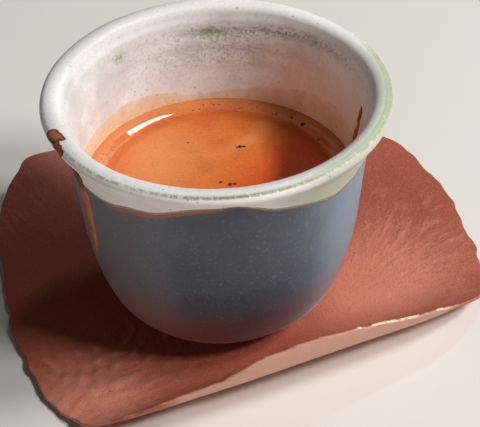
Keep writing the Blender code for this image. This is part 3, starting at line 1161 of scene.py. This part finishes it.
        # the coffee's stain over the lip, grown from its round spots
        around = turn_gap(degrees, self.stain_angle) * math.radians(1.0) * self.rim_radius
        stain = np.full_like(arc, -FAR)
        for along, over, radius in self.stain_spots:
            stain = np.maximum(stain, radius - np.hypot(around - along, arc - over))
        turned_green = 0.85 * smooth_step(degrees, -76.0, -52.0) * smooth_step(-degrees, -40.0, 0.0)
        # painted shade: the blue's paleness is cut at the lower left
        low = 1.0 - 0.5 * left * smooth_step(-height, -26.0, -12.0)
        store(piece, {
            "arc": arc,
            "band": np.where(inside, FAR, above_band),
            "film": np.where(inside, self.film_edge.at(degrees) - height, -FAR),
            "moss": np.clip(lip_green + smear, 0.0, 1.0),
            "deep_moss": np.clip(deep_moss + spots, 0.0, 1.0),
            "turned_green": turned_green,
            "lip_painted_light_and_shade": np.clip(self.lip_painted_light_and_shade.at(degrees), 0.0, 1.0),
            "painted_peach_bounce": painted_peach_bounce,
            "pallor_and_painted_light": np.clip(self.paleness_and_painted_light.at(degrees), 0.0, 1.0) * low,
            # painted reflections of the saucer: mauve at the left, red towards the foot
            "painted_reflection_warmth": 0.9 * near_turn(degrees, -138.0, 24.0),
            "foot": smooth_step(-height, -24.0, -7.0),
            "rusty": within_turn(degrees, -112.0, 16.0, 28.0),
            "smoke": (smoke_and_painted_shade_line + smoke_field) * inside,
            "stain": stain,
        })


@dataclass
class Espresso:
    """The coffee in the cup, with its crema on top and a collar where it climbs the wall."""

    cup: Cup
    level: float = 32.8
    collar_rise: float = 1.0
    collar_start: float = 24.2
    collar_end: float = 28.7
    into_wall: float = 0.25
    steps: int = 300
    rings: int = 96
    # how the collar's rise and its start waver round the cup, as count, height and shift
    rise_waves: Triples = ((3, 0.06, 1.0), (13, 0.015, 1.0))
    start_waves: Triples = ((3, 0.20, 0.4),)
    # the big bubbles, as x, y and radius
    big_spots: Triples = (
        (4.8, 11.5, 0.62), (5.7, 11.5, 0.42), (4.1, 11.3, 0.3), (19.2, 18.6, 0.6), (16.8, 21.1, 0.36),
        (0.2, -1.2, 0.42), (2.3, -2.1, 0.62), (3.3, -1.9, 0.45), (-6.8, 13.7, 0.22), (22.4, 12.8, 0.3),
    )
    # the froth on the collar: from and to which angle, how far apart, how far out, and where it is thin
    froth_turn: tuple[float, float] = (30.0, 172.0)
    froth_spacing: float = 1.7
    froth_reach: float = 26.6
    thin_turn: tuple[float, float] = (104.0, 146.0)
    loose_bubbles: int = 60
    loose_reach: float = 25.0
    # how many of its places hold a bubble, where the froth is thick and where it is thin
    thick_share: float = 0.75
    thin_share: float = 0.3
    # a pale patch of painted light on the crema's lit left, and a pale curl of crema round a point
    pale: Patch = Patch(-13.0, 8.0, 10.0, 12.0, 0.7)
    curl_centre: tuple[float, float] = (-6.0, 26.0)

    def surface(self, reach: np.ndarray, degrees: np.ndarray) -> np.ndarray:
        """Give the crema's height above the cup's base, from its middle to the wall.

        Args:
            reach: Distance of each point from the axis.
            degrees: Its angle.

        Returns:
            The height at each point, in millimetres.
        """
        angle = np.radians(degrees)
        climb = self.collar_rise * (1.0 + waves(angle, self.rise_waves))
        start = self.collar_start + waves(angle, self.start_waves)
        share = np.clip((reach - start) / (self.collar_end - start), 0.0, 1.0)
        return self.level + climb * share * share * (3.0 - 2.0 * share)

    def build(self, finish: CremaFoam) -> bpy.types.Object:
        """Model the coffee and dress it.

        Args:
            finish: The crema's finish.

        Returns:
            The finished coffee.
        """
        top_height = self.level + self.collar_rise
        edge = float(self.cup.wall_radius(Side.INSIDE, np.array([top_height]))[0]) + self.into_wall
        top = [(edge * ring / self.rings, self.level) for ring in range(self.rings + 1)]
        heights = [h for _, h in self.cup.inner_wall if h < self.level - 1.0][::-1]
        side = []
        for height in heights[:-1]:
            radius = float(self.cup.wall_radius(Side.INSIDE, np.array([height]))[0])
            side.append((radius + self.into_wall, height))
        piece = lathe("espresso_crema", top + side + [(0.0, heights[-1] - self.into_wall)], self.steps)
        points = positions(piece)
        reach = np.hypot(points[:, 0], points[:, 1])
        degrees = np.degrees(np.arctan2(points[:, 1], points[:, 0]))
        on_top = points[:, 2] > self.level - 0.5
        flat = points * np.array([1.0, 1.0, 0.0])
        ripple = 0.05 * clay_noise(flat, 7.0, 2.0) + 0.015 * clay_noise(flat, 1.6, 4.0)
        height = self.surface(reach, degrees) + ripple * smooth_step(-reach, -25.5, -23.5)
        points[:, 2] = np.where(on_top, height, points[:, 2]) + self.cup.lift
        place_points(piece, points)
        x = points[:, 0]
        y = points[:, 1]
        curl = round_centre(x, y, self.curl_centre)[1]
        # the pale patch is painted light on the crema's lit left; the curl is a pale swirl of crema
        pale = self.pale.at(x, y) + 0.45 * bump(curl, 17.5, 1.8) * bump(x, 6.0, 8.0) * (y < 24.0)
        store(piece, {
            "reach": reach,
            "pale": np.clip(pale, 0.0, 1.0),
            # painted shade: redder on the right, where the rim's shadow falls on the crema
            "painted_shadow_red": 0.75 * smooth_step(0.75 * x - 0.66 * y, -2.0, 9.0) + 0.08,
        })
        piece.data.materials.append(finish.material())
        return piece

    def froth_spots(self) -> list[tuple[float, float, float]]:
        """Scatter the fine bubbles: most in a loose ring on the collar, a few anywhere.

        Returns:
            The x, y and radius of each, in millimetres.
        """
        draw = np.random.default_rng(SEED)
        spots = []
        for degrees in np.arange(*self.froth_turn, self.froth_spacing):
            angle = math.radians(degrees + draw.uniform(-1.6, 1.6))
            reach = self.froth_reach + draw.normal(0.0, 0.55)
            thin = self.thin_turn[0] < degrees < self.thin_turn[1]
            if draw.random() < (self.thin_share if thin else self.thick_share):
                spots.append((reach * math.cos(angle), reach * math.sin(angle), draw.uniform(0.09, 0.24)))
        for _ in range(self.loose_bubbles):
            angle = draw.uniform(0.0, 2 * math.pi)
            reach = self.loose_reach * math.sqrt(draw.random())
            spots.append((reach * math.cos(angle), reach * math.sin(angle), draw.uniform(0.06, 0.14)))
        return spots

    def bubbles(
        self, name: str, spots: Triples | list[tuple[float, float, float]], finish: WetCoffee,
    ) -> bpy.types.Object:
        """Set bubbles on the crema, as one piece.

        Args:
            name: The piece's name.
            spots: The x, y and radius of each, in millimetres.
            finish: The bubbles' finish.

        Returns:
            All bubbles, joined.
        """
        domes = []
        for x, y, size in spots:
            reach = np.array([math.hypot(x, y)])
            degrees = np.array([math.degrees(math.atan2(y, x))])
            z = float(self.surface(reach, degrees)[0]) + self.cup.lift - 0.25 * size
            domes.append(self.dome(x, y, z, size))
        deselect_all()
        for dome in domes:
            dome.select_set(True)
        bpy.context.view_layer.objects.active = domes[0]
        bpy.ops.object.join()
        joined = bpy.context.object
        joined.name = name
        joined.data.name = name
        bpy.ops.object.transform_apply(location=True, rotation=True, scale=True)
        bpy.ops.object.shade_smooth()
        joined.data.materials.append(finish.material())
        return joined

    def dome(self, x: float, y: float, z: float, size: float) -> bpy.types.Object:
        """Model one bubble, a little flattened.

        Args:
            x: Its place from left to right, in millimetres.
            y: Its place from front to back.
            z: Its height above the table.
            size: Its radius.

        Returns:
            The bubble.
        """
        deselect_all()
        bpy.ops.mesh.primitive_uv_sphere_add(
            segments=10, ring_count=6, radius=size * MM, location=(x * MM, y * MM, z * MM),
        )
        made = bpy.context.object
        bpy.ops.object.mode_set(mode="EDIT")
        bpy.ops.mesh.select_all(action="SELECT")
        bpy.ops.transform.resize(value=(1.0, 1.0, 0.7))
        bpy.ops.object.mode_set(mode="OBJECT")
        return made


@dataclass
class Drip:
    """A run of coffee down the cup's wall: a thin rounded ribbon that lies on the glaze."""

    cup: Cup
    name: str
    side: Side
    path: Triples
    thickness: float
    # how thick the ribbon is made, how far its edges sink into the glaze, and how far its width wavers
    skin: float = 0.12
    sunk: float = 0.06
    raggedness: float = 0.22
    across_steps: int = 10
    along_steps: int = 70

    def build(self, finish: WetCoffee) -> bpy.types.Object:
        """Model the run on the wall's own shape and dress it.

        Args:
            finish: The coffee's finish.

        Returns:
            The finished run.
        """
        deselect_all()
        bpy.ops.mesh.primitive_grid_add(
            x_subdivisions=self.across_steps, y_subdivisions=self.along_steps, size=2.0 * MM,
        )
        piece = bpy.context.object
        piece.name = self.name
        piece.data.name = self.name
        grid = positions(piece)
        across = grid[:, 0]
        knots = np.linspace(-1.0, 1.0, len(self.path))
        table = np.array(self.path)
        degrees = np.interp(grid[:, 1], knots, table[:, 0])
        height = np.interp(grid[:, 1], knots, table[:, 1])
        half_width = np.interp(grid[:, 1], knots, table[:, 2])
        edge_noise = clay_noise(np.stack([height, across, height * 0.0], axis=1), 2.2, 6.0)
        half_width = half_width * (1.0 + self.raggedness * edge_noise)
        radius = self.cup.wall_radius(self.side, height)
        degrees = degrees + np.degrees(across * half_width / radius)
        dome = self.thickness * np.sqrt(np.clip(1.0 - across ** 2, 0.0, 1.0)) - self.sunk
        ends = smooth_step(1.0 - np.abs(grid[:, 1]), 0.0, 0.06)
        radius = radius + self.cup.handwork(self.side, degrees, height) + self.side.value * dome * ends
        angle = np.radians(degrees)
        points = np.stack([radius * np.cos(angle), radius * np.sin(angle), height + self.cup.lift], axis=1)
        place_points(piece, points)
        store(piece, {"start": 0.75 * smooth_step(height, 42.0, 45.0)})
        wall = piece.modifiers.new("body", "SOLIDIFY")
        wall.thickness = self.skin * MM
        wall.offset = -1.0
        bpy.ops.object.modifier_apply(modifier="body")
        bpy.ops.object.mode_set(mode="EDIT")
        bpy.ops.mesh.select_all(action="SELECT")
        bpy.ops.mesh.normals_make_consistent(inside=False)
        bpy.ops.object.mode_set(mode="OBJECT")
        bpy.ops.object.shade_smooth()
        piece.data.materials.append(finish.material())
        return piece


@dataclass(frozen=True)
class Lamp:
    """A soft box: its direction in degrees, distance and size in metres, and power in watts."""

    name: str
    azimuth: float
    elevation: float
    distance: float
    size: tuple[float, float]
    power: float


@dataclass
class Studio:
    """The pale floor, the soft lights and the camera."""

    middle: tuple[float, float, float] = (0.0, 0.0, 0.03)
    floor_size: float = 8.0
    floor_drop: float = 0.15
    floor_colour: str = "#E9E7E4"
    fill: float = 0.012
    fill_colour: str = "#F4F2EF"
    light_colour: str = "#FFFCF8"
    lamps: tuple[Lamp, ...] = (
        Lamp("key_front", -27.0, 44.0, 1.1, (0.24, 0.12), 6.0),
        Lamp("key_back", -3.0, 46.0, 1.1, (0.24, 0.12), 6.1),
        Lamp("side", 8.0, 26.0, 1.1, (0.30, 0.30), 1.8),
        Lamp("fill", -150.0, 18.0, 1.1, (0.50, 0.50), 1.0),
    )
    # the strip lies along the streak that it draws on the wet collar
    strip: Lamp = Lamp("strip", 58.8, 61.1, 1.2, (0.30, 0.11), 1.15)
    strip_run: tuple[float, float, float] = (0.637, 0.601, -0.483)
    camera_place: tuple[float, float, float] = (0.0, -345.7, 299.1)
    camera_aim: tuple[float, float, float] = (4.24, 0.0, 25.04)
    camera_roll: float = -1.53
    lens: float = 149.5
    sensor: float = 36.0

    def light(self, given: Lamp) -> bpy.types.Object:
        """Hang one soft box that points at the cup.

        Args:
            given: The lamp.

        Returns:
            The light.
        """
        turn = math.radians(given.azimuth)
        rise = math.radians(given.elevation)
        towards = Vector((math.cos(turn) * math.cos(rise), math.sin(turn) * math.cos(rise), math.sin(rise)))
        lamp = bpy.data.lights.new(given.name, "AREA")
        lamp.shape = "RECTANGLE"
        lamp.size, lamp.size_y = given.size
        lamp.energy = given.power
        lamp.color = linear(self.light_colour)[:3]
        made = bpy.data.objects.new(given.name, lamp)
        bpy.context.scene.collection.objects.link(made)
        made.location = Vector(self.middle) + towards * given.distance
        made.rotation_euler = (-towards).to_track_quat("-Z", "Y").to_euler()
        return made

    def build(self) -> None:
        """Set the floor, the lights, the world and the camera."""
        scene = bpy.context.scene
        deselect_all()
        bpy.ops.mesh.primitive_plane_add(size=self.floor_size, location=(0.0, 0.0, -self.floor_drop * MM))
        floor = bpy.context.object
        floor.name = "studio_floor"
        paint = bpy.data.materials.new("pale_studio_paint")
        paint.use_nodes = True
        shader = paint.node_tree.nodes["Principled BSDF"]
        wire(paint.node_tree, shader, {"Base Color": linear(self.floor_colour), "Roughness": 0.9})
        floor.data.materials.append(paint)

        for lamp in self.lamps:
            self.light(lamp)
        strip = self.light(self.strip)
        back = (strip.location - Vector(self.middle)).normalized()
        across = Vector(self.strip_run)
        side = (across - back * across.dot(back)).normalized()
        strip.rotation_euler = Matrix((side, back.cross(side), back)).transposed().to_euler()

        world = bpy.data.worlds.new("studio")
        world.use_nodes = True
        dim = world.node_tree.nodes["Background"]
        wire(world.node_tree, dim, {"Color": linear(self.fill_colour), "Strength": self.fill})
        scene.world = world

        lens = bpy.data.cameras.new("camera")
        lens.sensor_width = self.sensor
        lens.lens = self.lens
        lens.clip_start = 0.01
        lens.clip_end = 50.0
        camera = bpy.data.objects.new("camera", lens)
        scene.collection.objects.link(camera)
        place = Vector(self.camera_place) * MM
        direction = Vector(self.camera_aim) * MM - place
        roll = Matrix.Rotation(math.radians(self.camera_roll), 3, "Z")
        turned = direction.to_track_quat("-Z", "Y").to_matrix() @ roll
        camera.matrix_world = Matrix.Translation(place) @ turned.to_4x4()
        scene.camera = camera
        scene.view_settings.view_transform = "Standard"


# films of coffee: over the big bubbles, over the froth, and in the runs outside and inside
BIG_BUBBLE_FILM = WetCoffee("bubble_film", "#34120A", "#6A2A10")
FROTH_FILM = WetCoffee("froth_film", "#7A3414", "#C4682C")
DRIED_COFFEE = WetCoffee("dried_coffee", "#C08058", "#CE6230")
WET_COFFEE = WetCoffee("wet_coffee", "#8A4020", "#9A5028")

# the two runs from their head down, as angle, height and half width
RUN_OUTSIDE: Triples = (
    (-149.8, 54.0, 2.3), (-151.0, 50.0, 2.3), (-152.8, 45.0, 2.2), (-153.1, 40.0, 2.15),
    (-152.4, 36.4, 1.95), (-152.3, 31.3, 1.7), (-153.0, 27.5, 1.4), (-153.6, 24.8, 0.7),
)
RUN_INSIDE: Triples = (
    (5.2, 48.6, 0.8), (5.9, 47.0, 1.2), (6.0, 43.7, 1.3), (8.0, 40.4, 1.2), (10.0, 36.5, 1.1),
    (11.0, 34.2, 0.95),
)


def dress(piece: bpy.types.Object, slot: Slot, *nodes: str) -> None:
    """Say what a piece rides on and stands for, and report it.

    Args:
        piece: The finished piece.
        slot: A material slot for it; not used.
        nodes: The plain solids that it stands for, if any.
    """
    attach(piece, "root")
    if nodes:
        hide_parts(*nodes)
    LOG.info("%s: %d faces", piece.name, len(piece.data.polygons))


def main() -> None:
    """Build the set in order."""
    logging.basicConfig(level=logging.INFO, format="%(name)s %(message)s")
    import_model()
    Studio().build()
    dress(Saucer().build(Terracotta()), Slot.TERRACOTTA, "saucer")
    cup = Cup()
    dress(cup.build(StonewareGlaze()), Slot.STONEWARE, "cup")
    espresso = Espresso(cup)
    dress(espresso.build(CremaFoam()), Slot.CREMA, "espresso")
    dress(espresso.bubbles("crema_bubbles", espresso.big_spots, BIG_BUBBLE_FILM), Slot.CREMA)
    dress(espresso.bubbles("crema_froth", espresso.froth_spots(), FROTH_FILM), Slot.CREMA)
    for name, side, path, thickness, finish in (
        ("coffee_run_outside", Side.OUTSIDE, RUN_OUTSIDE, 0.28, DRIED_COFFEE),
        ("coffee_run_inside", Side.INSIDE, RUN_INSIDE, 0.22, WET_COFFEE),
    ):
        dress(Drip(cup, name, side, path, thickness).build(finish), Slot.CREMA)


if __name__ == "__main__":
    main()
